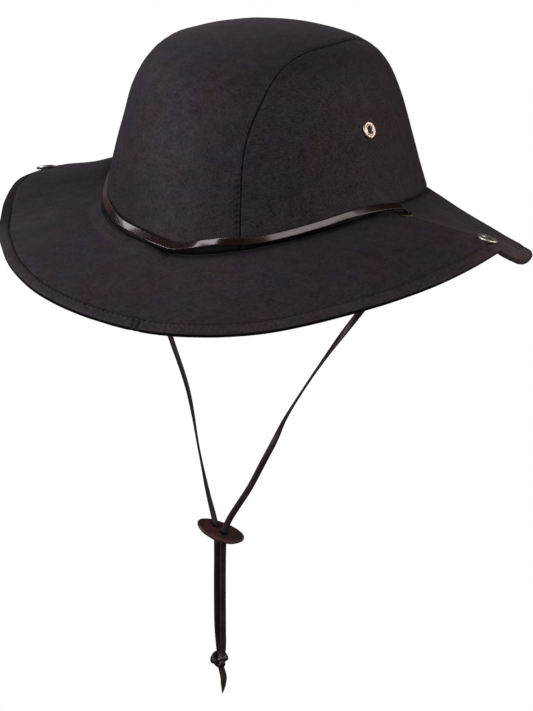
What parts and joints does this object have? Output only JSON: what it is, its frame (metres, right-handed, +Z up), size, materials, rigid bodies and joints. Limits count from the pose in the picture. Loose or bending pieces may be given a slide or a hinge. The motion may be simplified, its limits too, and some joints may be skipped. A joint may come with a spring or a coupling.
{
  "type": "waxed cotton hat",
  "caption": "Waxed cotton hat with a panelled crown, a stitched drooping brim with upturnable sides, side vents and a flat leather lace that hangs as a chin cord with a toggle.",
  "frame": {"origin": "middle of the head opening, at the height of its sides, where the hat sits on a head", "axes": "+Z up, -Y to the front of the hat, +X to the wearer's left"},
  "size_m": [0.3041, 0.3196, 0.3924],
  "materials": {
    "waxed_cotton": "matt waxed weave with a faint sheen",
    "hem_cotton": "matt waxed weave, stitched",
    "lace_leather": "oiled, soft gloss",
    "toggle_leather": "oiled, soft gloss",
    "eyelet_metal": "nickelled",
    "grommet_metal": "aged brass"
  },
  "bodies": {
    "root": {"crown_centre_panel": "waxed_cotton", "crown_side_left": "waxed_cotton", "crown_side_right": "waxed_cotton", "crown_vent_left": "eyelet_metal", "crown_vent_right": "eyelet_metal", "lace_grommet_left": "grommet_metal", "lace_grommet_right": "grommet_metal", "brim_snap_left": "eyelet_metal", "brim_snap_right": "eyelet_metal", "brim_front": "waxed_cotton", "brim_back": "waxed_cotton", "brim_hem_front": "hem_cotton", "brim_hem_back": "hem_cotton", "hat_lace": "lace_leather", "chin_lace_left": "lace_leather", "chin_lace_right": "lace_leather", "chin_toggle": "toggle_leather", "lace_tail": "lace_leather", "lace_knot": "lace_leather"}
  },
  "joints": []
}
